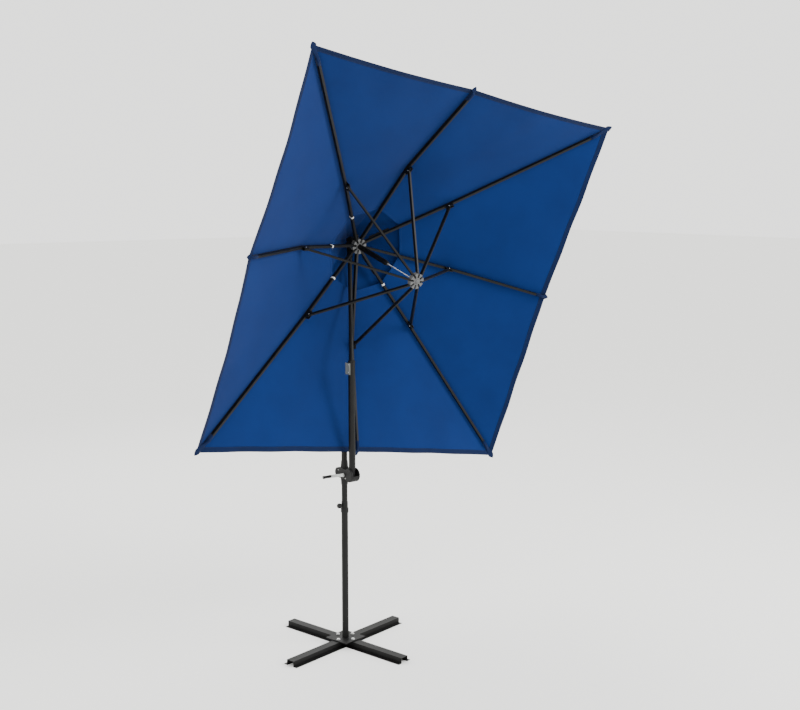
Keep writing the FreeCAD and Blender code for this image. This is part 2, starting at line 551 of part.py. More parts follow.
# A closed sheet: rows of points for its top, and the same points lowered for its underside.
def panelSolid(rows, thick):
    down = Vector(0, 0, -thick)
    lower = [[point + down for point in row] for row in rows]
    faces = []

    def add(*points):
        faces.append(Part.Face(Part.makePolygon(list(points) + [points[0]])))
    for j in range(len(rows) - 1):
        for i in range(len(rows[0]) - 1):
            for grid in (rows, lower):
                a, b, c, d = grid[j][i], grid[j][i + 1], grid[j + 1][i + 1], grid[j + 1][i]
                middleFirst = i < (len(rows[0]) - 1) / 2
                if middleFirst:
                    add(a, b, c)
                    add(a, c, d)
                else:
                    add(a, b, d)
                    add(b, c, d)
    edges = [[row[0] for row in rows], [row[-1] for row in rows], rows[0], rows[-1]]
    for edge in edges:
        for a, b in zip(edge, edge[1:]):
            add(a, b, b + down, a + down)
    shell = Part.makeShell(faces)
    shell.sewShape()
    solid = Part.makeSolid(shell)
    if solid.Volume < 0:
        solid.reverse()
    return solid


for index in range(8):
    rows = []
    for own, left, right in zip(fabricStations(index), fabricStations(index - 1), fabricStations(index + 1)):
        centre = polar(own[0], 0, own[1])
        sides = []
        for other, turn in ((left, -45), (right, 45)):
            middle = (centre + polar(other[0], turn, other[1])) * 0.5
            inward = (centre - middle).normalize() * size("seamGap")
            sides.append(middle + inward)
        rows.append([sides[0], centre, sides[1]])
    panel = feature("canopy_panel_%d" % (index + 1), panelSolid(rows, size("fabricThick")))
    panel.Placement = ribFrame(index)

topRimHeight = fabricLift + size("topLift") - (size("topRadius") - size("hubPivot")) * math.tan(slope)
topFaces = []
apex = Vector(0, 0, size("topPeak"))
down = Vector(0, 0, -size("fabricThick"))
rim = [polar(size("topRadius"), 45 * index, topRimHeight) for index in range(8)]
for a, b in zip(rim, rim[1:] + rim[:1]):
    for points in ((apex, a, b), (apex + down, b + down, a + down), (a, a + down, b + down, b)):
        topFaces.append(Part.Face(Part.makePolygon(list(points) + [points[0]])))
topShell = Part.makeShell(topFaces)
topShell.sewShape()
topSolid = Part.makeSolid(topShell)
if topSolid.Volume < 0:
    topSolid.reverse()
blockTop = size("hubThick") / 2 + size("blockThick")
postHole = Part.makeCylinder(size("postRadius") + size("softGap"), size("topPeak"), Vector(0, 0, blockTop))
feature("top_canopy", topSolid.cut(postHole)).Placement = canopyFrame
post = Part.makeCylinder(size("postRadius"), size("topPeak") - blockTop, Vector(0, 0, blockTop))
finial = post.fuse([Part.makeCylinder(size("finialDisc"), size("finialThick"), apex),
                    Part.makeSphere(size("finialBall"), apex + Vector(0, 0, size("finialUp")))])
feature("finial", finial).Placement = canopyFrame

# check and write
doc.recompute()
for obj in doc.Objects:
    if "Invalid" in obj.State or "Error" in obj.State:
        raise RuntimeError("failed: %s %s" % (obj.Label, obj.State))
os.makedirs("parts", exist_ok=True)
for obj in nodes:
    if obj.Shape.isNull() or not obj.Shape.isValid() or not obj.Shape.Solids:
        raise RuntimeError("bad shape: %s" % obj.Label)
for obj in nodes:
    obj.Shape.exportStep(os.path.join("parts", obj.Label + ".step"))
print("nodes", len(nodes), "strut", round(strutLength, 2), "angle", round(strutAngle, 3), "joint",
      round(jointRadius, 2), round(jointHeight, 2))
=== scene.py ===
import json
import math
import bmesh
import bpy
from mathutils import Matrix, Vector


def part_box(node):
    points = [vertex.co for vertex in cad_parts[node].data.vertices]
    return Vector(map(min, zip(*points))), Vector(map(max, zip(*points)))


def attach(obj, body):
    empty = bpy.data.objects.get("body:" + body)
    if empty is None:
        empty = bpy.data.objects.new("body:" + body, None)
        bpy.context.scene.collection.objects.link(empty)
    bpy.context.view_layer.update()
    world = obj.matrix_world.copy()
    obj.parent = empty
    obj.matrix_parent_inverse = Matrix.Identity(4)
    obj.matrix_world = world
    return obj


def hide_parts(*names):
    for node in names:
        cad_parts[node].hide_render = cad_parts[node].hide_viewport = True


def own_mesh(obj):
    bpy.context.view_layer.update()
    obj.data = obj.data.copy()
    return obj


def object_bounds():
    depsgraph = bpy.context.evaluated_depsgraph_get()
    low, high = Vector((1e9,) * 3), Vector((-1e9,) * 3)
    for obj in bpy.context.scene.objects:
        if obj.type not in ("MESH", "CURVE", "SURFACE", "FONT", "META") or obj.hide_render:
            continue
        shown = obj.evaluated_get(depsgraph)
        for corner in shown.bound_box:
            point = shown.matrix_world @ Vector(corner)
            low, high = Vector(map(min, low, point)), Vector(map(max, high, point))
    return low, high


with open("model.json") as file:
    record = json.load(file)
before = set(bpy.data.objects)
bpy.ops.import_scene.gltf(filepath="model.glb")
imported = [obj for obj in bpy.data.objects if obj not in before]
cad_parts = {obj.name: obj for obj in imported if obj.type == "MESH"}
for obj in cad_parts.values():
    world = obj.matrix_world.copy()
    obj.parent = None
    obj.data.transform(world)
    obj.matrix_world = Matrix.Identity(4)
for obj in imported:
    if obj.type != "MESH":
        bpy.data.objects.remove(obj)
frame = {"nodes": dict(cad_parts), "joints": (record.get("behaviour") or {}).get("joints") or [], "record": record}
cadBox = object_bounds()
print("frame:", len(frame["nodes"]), "nodes")

joints = {joint["name"]: joint for joint in frame["joints"]}
ribNames = ["left", "upper_left", "top", "upper_right", "right", "lower_right", "bottom", "lower_left"]
ribCount = len(ribNames)
ribTurn = 2 * math.pi / ribCount


def jointAt(name):
    return Vector(joints[name]["pos_m"])


# the canopy's own axes: x along the left rib, z towards its peak
hubAt = sum((jointAt("rib_%s_fold" % name) for name in ribNames), Vector()) / ribCount
peakWay = -Vector(joints["canopy_fold"]["axis"]).normalized()
leftWay = (jointAt("rib_left_fold") - hubAt).normalized()
sideWay = peakWay.cross(leftWay)
canopyPlace = Matrix.Translation(hubAt) @ Matrix((leftWay, sideWay, peakWay)).transposed().to_4x4()
pivotRadius = (jointAt("rib_left_fold") - hubAt).length
ribPlaces = [canopyPlace @ Matrix.Rotation(ribTurn * index, 4, "Z") for index in range(ribCount)]


def nodePoints(node, place):
    back = place.inverted()
    return [back @ vertex.co for vertex in frame["nodes"][node].data.vertices]


# how the surfaces look, apart from each finish's own colours
surface = dict(coatRough=0.35, darkAt=0.3, lightAt=0.72, wearFrom=0.66, wearTo=0.74, patchRough=0.6,
               grainShow=0.3, wobble=0.6)


def addNode(tree, kind, **sockets):
    node = tree.nodes.new(kind)
    for name, value in sockets.items():
        node.inputs[name.replace("_", " ")].default_value = value
    return node


def startFinish(name, look):
    finish = bpy.data.materials.new(name)
    finish.use_nodes = True
    tree = finish.node_tree
    shader = tree.nodes["Principled BSDF"]
    shader.inputs["Metallic"].default_value = look.get("metal", 0.0)
    shader.inputs["Specular IOR Level"].default_value = look.get("gloss", 0.5)
    shader.inputs["Sheen Weight"].default_value = look.get("sheen", 0.0)
    shader.inputs["Coat Weight"].default_value = look.get("coat", 0.0)
    shader.inputs["Coat Roughness"].default_value = surface["coatRough"]
    place = tree.nodes.new("ShaderNodeTexCoord")
    return finish, tree, shader, place


# two close tones in soft patches for the colour, and the same for how dull the surface is
def addTones(tree, shader, coords, look):
    patches = addNode(tree, "ShaderNodeTexNoise", Scale=look["patch"], Detail=5.0,
                      Roughness=surface["patchRough"])
    tones = tree.nodes.new("ShaderNodeValToRGB")
    tones.color_ramp.elements[0].position = surface["darkAt"]
    tones.color_ramp.elements[0].color = (*look["dark"], 1)
    tones.color_ramp.elements[1].position = surface["lightAt"]
    tones.color_ramp.elements[1].color = (*look["light"], 1)
    dull = addNode(tree, "ShaderNodeMapRange", To_Min=look["rough"][0], To_Max=look["rough"][1])
    tree.links.new(coords, patches.inputs["Vector"])
    tree.links.new(patches.outputs["Fac"], tones.inputs["Fac"])
    tree.links.new(patches.outputs["Fac"], dull.inputs["Value"])
    tree.links.new(dull.outputs["Result"], shader.inputs["Roughness"])
    return tones


def addBump(tree, shader, height, depth, strength):
    bump = addNode(tree, "ShaderNodeBump", Distance=depth, Strength=strength)
    tree.links.new(height, bump.inputs["Height"])
    tree.links.new(bump.outputs["Normal"], shader.inputs["Normal"])


# painted, plated and moulded finishes: soft patches, worn specks and a fine grain
def hardFinish(name, look):
    finish, tree, shader, place = startFinish(name, look)
    coords = place.outputs["Object"]
    tones = addTones(tree, shader, coords, look)
    specks = addNode(tree, "ShaderNodeTexNoise", Scale=look["speck"], Detail=3.0)
    wear = addNode(tree, "ShaderNodeMapRange", From_Min=surface["wearFrom"],
                   From_Max=surface["wearTo"])
    mix = tree.nodes.new("ShaderNodeMix")
    mix.data_type = "RGBA"
    mix.inputs[7].default_value = (*look["worn"], 1)
    grain = addNode(tree, "ShaderNodeTexVoronoi", Scale=look["grain"])
    tree.links.new(coords, specks.inputs["Vector"])
    tree.links.new(coords, grain.inputs["Vector"])
    tree.links.new(specks.outputs["Fac"], wear.inputs["Value"])
    tree.links.new(wear.outputs["Result"], mix.inputs[0])
    tree.links.new(tones.outputs["Color"], mix.inputs[6])
    tree.links.new(mix.outputs[2], shader.inputs["Base Color"])
    addBump(tree, shader, grain.outputs["Distance"], look["grainDeep"], surface["grainShow"])
    return finish


# woven cloth on the piece's own flat map, in metres: two crossing sets of threads
def clothFinish(name, look):
    finish, tree, shader, place = startFinish(name, look)
    tones = addTones(tree, shader, place.outputs["Object"], look)
    tree.links.new(tones.outputs["Color"], shader.inputs["Base Color"])
    weave = tree.nodes.new("ShaderNodeMath")
    weave.operation = "MULTIPLY"
    for side, direction in enumerate(("X", "Y")):
        threads = addNode(tree, "ShaderNodeTexWave", Scale=look["threads"], Distortion=surface["wobble"])
        threads.bands_direction = direction
        tree.links.new(place.outputs["UV"], threads.inputs["Vector"])
        tree.links.new(threads.outputs["Fac"], weave.inputs[side])
    addBump(tree, shader, weave.outputs["Value"], look["threadDeep"], look["threadShow"])
    return finish


paint = dict(patch=9.0, speck=130.0, grain=1400.0, grainDeep=0.0002, coat=0.02, gloss=0.16)
mould = dict(patch=14.0, speck=90.0, grain=2200.0, grainDeep=0.00025, rough=(0.5, 0.66), gloss=0.2)
finishes = {
    "graphite_tube": hardFinish("graphitePaint", dict(
        paint, dark=(0.0035, 0.0035, 0.0035), light=(0.0065, 0.0064, 0.0063), worn=(0.016, 0.016, 0.016),
        rough=(0.4, 0.54))),
    "base_steel": hardFinish("baseBlack", dict(
        paint, dark=(0.0022, 0.0022, 0.0023), light=(0.0048, 0.0047, 0.0046), worn=(0.014, 0.0135, 0.013),
        rough=(0.46, 0.6))),
    "zinc_steel": hardFinish("zincPlate", dict(
        dark=(0.42, 0.43, 0.44), light=(0.62, 0.62, 0.6), worn=(0.3, 0.28, 0.25), rough=(0.24, 0.42),
        metal=1.0, patch=60.0, speck=300.0, grain=900.0, grainDeep=0.0001)),
    "black_plastic": hardFinish("blackMould", dict(
        mould, dark=(0.0032, 0.0032, 0.0034), light=(0.006, 0.006, 0.0062), worn=(0.014, 0.014, 0.0145))),
    "grey_plastic": hardFinish("greyMould", dict(
        mould, dark=(0.075, 0.076, 0.078), light=(0.12, 0.12, 0.122), worn=(0.17, 0.17, 0.17))),
    "grey_lever": hardFinish("leverPaint", dict(
        paint, dark=(0.34, 0.35, 0.345), light=(0.46, 0.47, 0.46), worn=(0.2, 0.2, 0.2), rough=(0.34, 0.48))),
    "bracket_steel": hardFinish("bracketPaint", dict(
        paint, dark=(0.13, 0.14, 0.135), light=(0.2, 0.21, 0.2), worn=(0.3, 0.3, 0.29), rough=(0.4, 0.52))),
    "canopy_fabric": clothFinish("navyCloth", dict(
        dark=(0.0018, 0.0135, 0.078), light=(0.0026, 0.018, 0.098), rough=(0.8, 0.92), sheen=0.03, gloss=0.1,
        patch=2.2, threads=300.0, threadDeep=0.0003, threadShow=0.35)),
    "pale_cord": clothFinish("paleBraid", dict(
        dark=(0.58, 0.57, 0.53), light=(0.74, 0.73, 0.69), rough=(0.7, 0.85), gloss=0.3,
        patch=120.0, threads=160.0, threadDeep=0.0006, threadShow=0.8)),
}
hemCloth = clothFinish("hemCloth", dict(
    dark=(0.0010, 0.0062, 0.032), light=(0.0016, 0.0085, 0.043), rough=(0.8, 0.92), sheen=0.03, gloss=0.12,
    patch=6.0, threads=260.0, threadDeep=0.0004, threadShow=0.5))
tieCloth = clothFinish("whiteTape", dict(
    dark=(0.66, 0.66, 0.64), light=(0.8, 0.8, 0.78), rough=(0.75, 0.88), gloss=0.3,
    patch=80.0, threads=200.0, threadDeep=0.0004, threadShow=0.6))
threadCloth = clothFinish("navyThread", dict(
    dark=(0.0022, 0.014, 0.07), light=(0.004, 0.022, 0.1), rough=(0.5, 0.7), gloss=0.4,
    patch=200.0, threads=500.0, threadDeep=0.0002, threadShow=0.4))
slotOfNode = {part["node"]: part["material_slot"] for part in frame["record"]["subparts"]}
for node, shown in frame["nodes"].items():
    shown.data.materials.clear()
    shown.data.materials.append(finishes[slotOfNode[node]])
print("finishes")


def addPiece(name, shape, finish):
    mesh = bpy.data.meshes.new(name)
    shape.to_mesh(mesh)
    shape.free()
    mesh.materials.append(finish)
    piece = bpy.data.objects.new(name, mesh)
    bpy.context.scene.collection.objects.link(piece)
    return piece


# joins rows of vertices by faces: around joins each row's ends, and bandLoop the first and last rows
def skin(shape, rows, around, bandLoop=False):
    pairs = list(zip(rows, rows[1:])) + ([(rows[-1], rows[0])] if bandLoop else [])
    for low, high in pairs:
        count = len(low)
        for i in range(count if around else count - 1):
            shape.faces.new((low[i], low[(i + 1) % count], high[(i + 1) % count], high[i])).smooth = True


# a closed sheet of one thickness about a grid of points, given in the canopy's or a rib's frame
def clothPiece(name, rows, thick, place, finish, around=False):
    shape = bmesh.new()
    flatMap = shape.loops.layers.uv.new("cloth")
    half = Vector((0, 0, thick / 2))
    top = [[shape.verts.new(point + half) for point in row] for row in rows]
    low = [[shape.verts.new(point - half) for point in row] for row in rows]
    skin(shape, top, around)
    skin(shape, low, around)
    skin(shape, [top[0], low[0]], around)
    skin(shape, [top[-1], low[-1]], around)
    if not around:
        for end in (0, -1):
            skin(shape, [[row[end] for row in top], [row[end] for row in low]], False)
    rims = [top[0], top[-1], low[0], low[-1]]
    if not around:
        rims += [[row[end] for row in side] for side in (top, low) for end in (0, -1)]
    for row in rims:
        for a, b in zip(row, row[1:]):
            shape.edges.get((a, b)).smooth = False
    bmesh.ops.recalc_face_normals(shape, faces=shape.faces)
    for face in shape.faces:
        for loop in face.loops:
            loop[flatMap].uv = (loop.vert.co.y, loop.vert.co.x)
    shape.transform(place)
    return addPiece(name, shape, finish)


# a turned piece: (radius, height) pairs along an axis, fluted where a radius is over fluteFrom
def turnedPiece(name, profile, start, axis, finish, bore=0.0, flutes=0, fluteDeep=0.0, fluteFrom=0.0,
                steps=64, sharpFrom=38):
    shape = bmesh.new()
    points = [(bore, profile[0][1]), *profile, (bore, profile[-1][1])] if bore else profile
    rings = []
    for radius, height in points:
        ring = []
        for i in range(steps):
            angle = 2 * math.pi * i / steps
            fluted = flutes and radius > fluteFrom
            reach = radius - (fluteDeep * (0.5 - 0.5 * math.cos(flutes * angle)) if fluted else 0.0)
            ring.append(shape.verts.new((reach * math.cos(angle), reach * math.sin(angle), height)))
        rings.append(ring)
    skin(shape, rings, True, bandLoop=bool(bore))
    if not bore:
        for ring in (rings[0], rings[-1]):
            pole = shape.verts.new((0, 0, ring[0].co.z))
            for i in range(steps):
                shape.faces.new((ring[i], ring[(i + 1) % steps], pole)).smooth = True
    bmesh.ops.recalc_face_normals(shape, faces=shape.faces)
    for edge in shape.edges:
        if len(edge.link_faces) == 2 and edge.calc_face_angle(0) > math.radians(sharpFrom):
            edge.smooth = False
    turn = Vector(axis).to_track_quat("Z", "Y").to_matrix().to_4x4()
    shape.transform(Matrix.Translation(start) @ turn)
    return addPiece(name, shape, finish)


# a lofted piece through closed sections that have the same number of points
def loftPiece(name, sections, place, finish, bandLoop=False):
    shape = bmesh.new()
    rings = [[shape.verts.new(point) for point in section] for section in sections]
    skin(shape, rings, True, bandLoop)
    if not bandLoop:
        for ring in (rings[0], rings[-1]):
            shape.faces.new(ring)
    flatMap = shape.loops.layers.uv.new("cloth")
    bmesh.ops.recalc_face_normals(shape, faces=shape.faces)
    for face in shape.faces:
        for loop in face.loops:
            loop[flatMap].uv = (loop.vert.co.y + loop.vert.co.z, loop.vert.co.x)
    shape.transform(place)
    return addPiece(name, shape, finish)


def wearOn(piece, body, replaced=()):
    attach(piece, body)
    if replaced:
        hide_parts(*replaced)


# a node tree that takes named sizes, for what repeats
def startTree(name, sizes):
    tree = bpy.data.node_groups.new(name, "GeometryNodeTree")
    tree.interface.new_socket(name="Geometry", in_out="INPUT", socket_type="NodeSocketGeometry")
    for label, kind in sizes:
        tree.interface.new_socket(name=label, in_out="INPUT", socket_type=kind)
    tree.interface.new_socket(name="Geometry", in_out="OUTPUT", socket_type="NodeSocketGeometry")
    return tree, tree.nodes.new("NodeGroupInput"), tree.nodes.new("NodeGroupOutput")


def endTree(tree, entry, exitNode, geometry):
    real = tree.nodes.new("GeometryNodeRealizeInstances")
    dress = tree.nodes.new("GeometryNodeSetMaterial")
    tree.links.new(geometry, real.inputs["Geometry"])
    tree.links.new(real.outputs["Geometry"], dress.inputs["Geometry"])
    tree.links.new(entry.outputs["Finish"], dress.inputs["Material"])
    tree.links.new(dress.outputs["Geometry"], exitNode.inputs["Geometry"])
    return tree


def placeCopies(tree, points, copies, direction, axis):
    aim = tree.nodes.new("FunctionNodeAlignRotationToVector")
    aim.axis = axis
    put = tree.nodes.new("GeometryNodeInstanceOnPoints")
    tree.links.new(direction, aim.inputs["Vector"])
    tree.links.new(points, put.inputs["Points"])
    tree.links.new(copies, put.inputs["Instance"])
    tree.links.new(aim.outputs["Rotation"], put.inputs["Rotation"])
    return put


# stitches laid end to end along lines, each a small stretched bead
def makeStitchTree():
    tree, entry, exitNode = startTree("stitchRun", [
        ("Pitch", "NodeSocketFloat"), ("Stitch length", "NodeSocketFloat"),
        ("Thread radius", "NodeSocketFloat"), ("Finish", "NodeSocketMaterial")])
    path = tree.nodes.new("GeometryNodeMeshToCurve")
    spread = tree.nodes.new("GeometryNodeResampleCurve")
    spread.mode = "LENGTH"
    tangent = tree.nodes.new("GeometryNodeInputTangent")
    bead = addNode(tree, "GeometryNodeMeshIcoSphere", Radius=1.0, Subdivisions=1)
    stretch = tree.nodes.new("ShaderNodeCombineXYZ")
    link = tree.links.new
    link(entry.outputs["Geometry"], path.inputs["Mesh"])
    link(path.outputs["Curve"], spread.inputs["Curve"])
    link(entry.outputs["Pitch"], spread.inputs["Length"])
    put = placeCopies(tree, spread.outputs["Curve"], bead.outputs["Mesh"], tangent.outputs["Tangent"], "X")
    link(entry.outputs["Stitch length"], stretch.inputs["X"])
    link(entry.outputs["Thread radius"], stretch.inputs["Y"])
    link(entry.outputs["Thread radius"], stretch.inputs["Z"])
    link(stretch.outputs["Vector"], put.inputs["Scale"])
    return endTree(tree, entry, exitNode, put.outputs["Instances"])


# bolt heads on washers, or domed rivets, standing along each point's aim
def makeFastenerTree():
    tree, entry, exitNode = startTree("fastener", [
        ("Head radius", "NodeSocketFloat"), ("Head height", "NodeSocketFloat"), ("Sides", "NodeSocketInt"),
        ("Washer radius", "NodeSocketFloat"), ("Washer height", "NodeSocketFloat"),
        ("Dome", "NodeSocketFloat"), ("Finish", "NodeSocketMaterial")])
    link = tree.links.new
    joined = tree.nodes.new("GeometryNodeJoinGeometry")

    # moves a mesh up by the sum of its heights, each times its share
    def raised(mesh, *heights):
        lift = tree.nodes.new("ShaderNodeCombineXYZ")
        total = None
        for output, share in heights:
            part = addNode(tree, "ShaderNodeMath")
            part.operation = "MULTIPLY_ADD"
            link(output, part.inputs[0])
            part.inputs[1].default_value = share
            if total is None:
                part.inputs[2].default_value = 0.0
            else:
                link(total, part.inputs[2])
            total = part.outputs[0]
        link(total, lift.inputs["Z"])
        move = tree.nodes.new("GeometryNodeTransform")
        link(mesh, move.inputs["Geometry"])
        link(lift.outputs["Vector"], move.inputs["Translation"])
        link(move.outputs["Geometry"], joined.inputs["Geometry"])
        return move

    washer = addNode(tree, "GeometryNodeMeshCylinder", Vertices=32)
    link(entry.outputs["Washer radius"], washer.inputs["Radius"])
    link(entry.outputs["Washer height"], washer.inputs["Depth"])
    raised(washer.outputs["Mesh"], (entry.outputs["Washer height"], 0.5))
    head = addNode(tree, "GeometryNodeMeshCylinder")
    link(entry.outputs["Sides"], head.inputs["Vertices"])
    link(entry.outputs["Head radius"], head.inputs["Radius"])
    link(entry.outputs["Head height"], head.inputs["Depth"])
    raised(head.outputs["Mesh"], (entry.outputs["Washer height"], 1.0), (entry.outputs["Head height"], 0.5))
    dome = addNode(tree, "GeometryNodeMeshUVSphere", Segments=24, Rings=12, Radius=1.0)
    flat = tree.nodes.new("ShaderNodeCombineXYZ")
    for way in "XY":
        link(entry.outputs["Head radius"], flat.inputs[way])
    link(entry.outputs["Dome"], flat.inputs["Z"])
    crown = raised(dome.outputs["Mesh"], (entry.outputs["Washer height"], 1.0),
                   (entry.outputs["Head height"], 1.0))
    link(flat.outputs["Vector"], crown.inputs["Scale"])
    aim = tree.nodes.new("GeometryNodeInputNamedAttribute")
    aim.data_type = "FLOAT_VECTOR"
    aim.inputs["Name"].default_value = "aim"
    put = placeCopies(tree, entry.outputs["Geometry"], joined.outputs["Geometry"],
                      aim.outputs["Attribute"], "Z")
    return endTree(tree, entry, exitNode, put.outputs["Instances"])


# runs a tree on a mesh and keeps what it makes as plain geometry
def growTree(name, mesh, tree, sizes):
    piece = bpy.data.objects.new(name, mesh)
    bpy.context.scene.collection.objects.link(piece)
    shaper = piece.modifiers.new("shaper", "NODES")
    shaper.node_group = tree
    entries = [item for item in tree.interface.items_tree if item.in_out == "INPUT"]
    sockets = {item.name: item.identifier for item in entries}
    for label, value in sizes.items():
        shaper[sockets[label]] = value
    graph = bpy.context.evaluated_depsgraph_get()
    grown = bpy.data.meshes.new_from_object(piece.evaluated_get(graph), depsgraph=graph)
    piece.modifiers.remove(shaper)
    piece.data = grown
    grown.name = name
    return piece


stitchTree = makeStitchTree()
fastenerTree = makeFastenerTree()


def stitchPiece(name, threadLines, sizes):
    mesh = bpy.data.meshes.new(name)
    points, edges = [], []
    for line in threadLines:
        edges += [(len(points) + i, len(points) + i + 1) for i in range(len(line) - 1)]
        points += line
    mesh.from_pydata(points, edges, [])
    return growTree(name, mesh, stitchTree, sizes)


def fastenerPiece(name, spots, sizes):
    mesh = bpy.data.meshes.new(name)
    mesh.from_pydata([spot for spot, way in spots], [], [])
    aims = mesh.attributes.new("aim", "FLOAT_VECTOR", "POINT")
    for i, (spot, way) in enumerate(spots):
        aims.data[i].vector = way
    return growTree(name, mesh, fastenerTree, sizes)


cover = dict(thick=0.0012, sag=0.014, sagStart=0.35, sagGrow=0.325, hemPull=0.009, ripple=0.0022,
             rippleRows=5.2, rippleGores=2.3, rippleAcross=3.0, hemWave=0.0035, waves=3, waveShift=0.17,
             bendSoft=0.03, rows=44, columns=20, keepCorner=0.27, keepMid=0.2, allowance=0.02, sameLine=0.001,
             nextPoint=0.002)
# ventOver, and the seam's start and long, are reaches as onRib takes them. The other lengths are metres
hem = dict(wide=0.028, over=0.002, thick=0.0034, steps=3, ventWide=0.018, ventOver=0.004, ventSteps=2,
           stitchInset=0.004, ventStitch=0.7)
seam = dict(half=0.007, thick=0.001, rise=0.0011, start=0.05, long=1.93, steps=60, stitchOffset=0.0048)
stitch = {"Pitch": 0.007, "Stitch length": 0.0024, "Thread radius": 0.00055, "Finish": threadCloth}
pocket = dict(inside=0.055, grow=0.0016, mouth=0.021, tip=0.022, tipHalf=0.003, tipShare=0.6, endLong=0.03,
              under=0.0014, thin=0.004, throat=0.024, beforeTip=0.012, pastTip=0.004, floor=0.001,
              hemInset=0.004, hemStart=0.008, stepFrom=0.012, stepDeep=0.012, droop=0.004, tipDrop=0.009,
              roundShare=0.4)
tie = dict(along=0.29, wide=0.012, thick=0.0012, gap=0.0004, sideBulge=1.05, deepBulge=1.04,
           ribs=("left", "upper_left", "lower_left", "lower_right"))


# (radius, height) of the CAD cover's middle over a rib: vent edge, bend and hem
def coverLine(index):
    points = nodePoints("canopy_panel_%d" % (index + 1), ribPlaces[index])
    points = [point for point in points if abs(point.y) < cover["sameLine"]]
    groups = []
    for point in sorted(points, key=lambda p: p.x):
        if groups and point.x - groups[-1][0].x < cover["nextPoint"]:
            groups[-1].append(point)
        else:
            groups.append([point])
    return [(group[0].x, (min(p.z for p in group) + max(p.z for p in group)) / 2) for group in groups]


lines = [coverLine(index) for index in range(ribCount)]
ribSlope = math.atan((lines[0][0][1] - lines[0][1][1]) / (lines[0][1][0] - lines[0][0][0]))


# reach runs 0 at the vent edge, 1 at the bend and 2 at the hem, with the bend softened
def onRib(line, reach):
    (ventR, ventZ), (bendR, bendZ), (hemR, hemZ) = line
    if reach < 1:
        radius = ventR + (bendR - ventR) * reach
    else:
        radius = bendR + (hemR - bendR) * (reach - 1)
    inner = (bendZ - ventZ) / (bendR - ventR)
    outer = (hemZ - bendZ) / (hemR - bendR)
    past = radius - bendR
    soft = cover["bendSoft"]
    bent = math.hypot(past, soft) - soft / 2
    return radius, bendZ + (inner + outer) / 2 * past + (outer - inner) / 2 * bent


# side runs -1 to 1 across one rib's part of the cover, and is 0 over the rib
def coverPoint(index, side, reach, lift=0.0):
    turn = math.copysign(1, side)
    ownR, ownZ = onRib(lines[index], reach)
    nextR, nextZ = onRib(lines[int(index + turn) % ribCount], reach)
    share = abs(side) / 2
    nextPoint = Vector((nextR * math.cos(ribTurn), turn * nextR * math.sin(ribTurn), nextZ))
    point = Vector((ownR, 0, ownZ)).lerp(nextPoint, share)
    hollow = math.sin(math.pi * share)
    gore = index if turn > 0 else (index - 1) % ribCount
    across = share if turn > 0 else 1 - share
    outer = max(0.0, reach - 1)
    pull = 1 - cover["hemPull"] * hollow * outer ** 2
    point.x *= pull
    point.y *= pull
    point.z -= cover["sag"] * hollow * (cover["sagStart"] + cover["sagGrow"] * min(reach, 2))
    rippled = cover["rippleRows"] * reach + cover["rippleGores"] * gore + cover["rippleAcross"] * across
    point.z += cover["ripple"] * hollow * math.sin(rippled)
    waved = 2 * math.pi * (cover["waves"] * across + cover["waveShift"] * gore)
    point.z += cover["hemWave"] * hollow * outer ** 3 * math.sin(waved)
    point.z += lift
    return point


# the same at a distance in metres from the rib's line
def besideRib(index, offset, reach, lift=0.0):
    nextR = onRib(lines[int(index + math.copysign(1, offset)) % ribCount], reach)[0]
    return coverPoint(index, 2 * offset / (nextR * math.sin(ribTurn)), reach, lift)


# how far inside the hem line a given distance in metres is, as reach
def hemReach(index, side, distance):
    turn = int(math.copysign(1, side))
    lengths = []
    for k in (index, (index + turn) % ribCount):
        square = math.cos(ribTurn) if k % 2 else 1.0
        lengths.append((lines[k][2][0] - lines[k][1][0]) * square)
    share = abs(side) / 2
    return 2 - distance / (lengths[0] * (1 - share) + lengths[1] * share)


# a distance in metres outwards from the vent edge, as reach
def ventReach(index, distance):
    return distance / (lines[index][1][0] - lines[index][0][0])


sides = [i / cover["columns"] for i in range(-cover["columns"], cover["columns"] + 1)]


# the area of one rib's part of the cover, taken flat between its vent edge, bend and hem
def cutArea(index):
    total = 0.0
    for turn in (-1, 1):
        other = lines[(index + turn) % ribCount]
        for near, far in ((0, 1), (1, 2)):
            corners = []
            for k in (near, far):
                own = Vector((lines[index][k][0], 0, lines[index][k][1]))
                radius, height = other[k]
                beyond = Vector((radius * math.cos(ribTurn), turn * radius * math.sin(ribTurn), height))
                corners += [own, own.lerp(beyond, 0.5)]
            a, b, c, d = corners
            total += ((b - a).cross(c - a).length + (b - d).cross(c - d).length) / 2
    return total


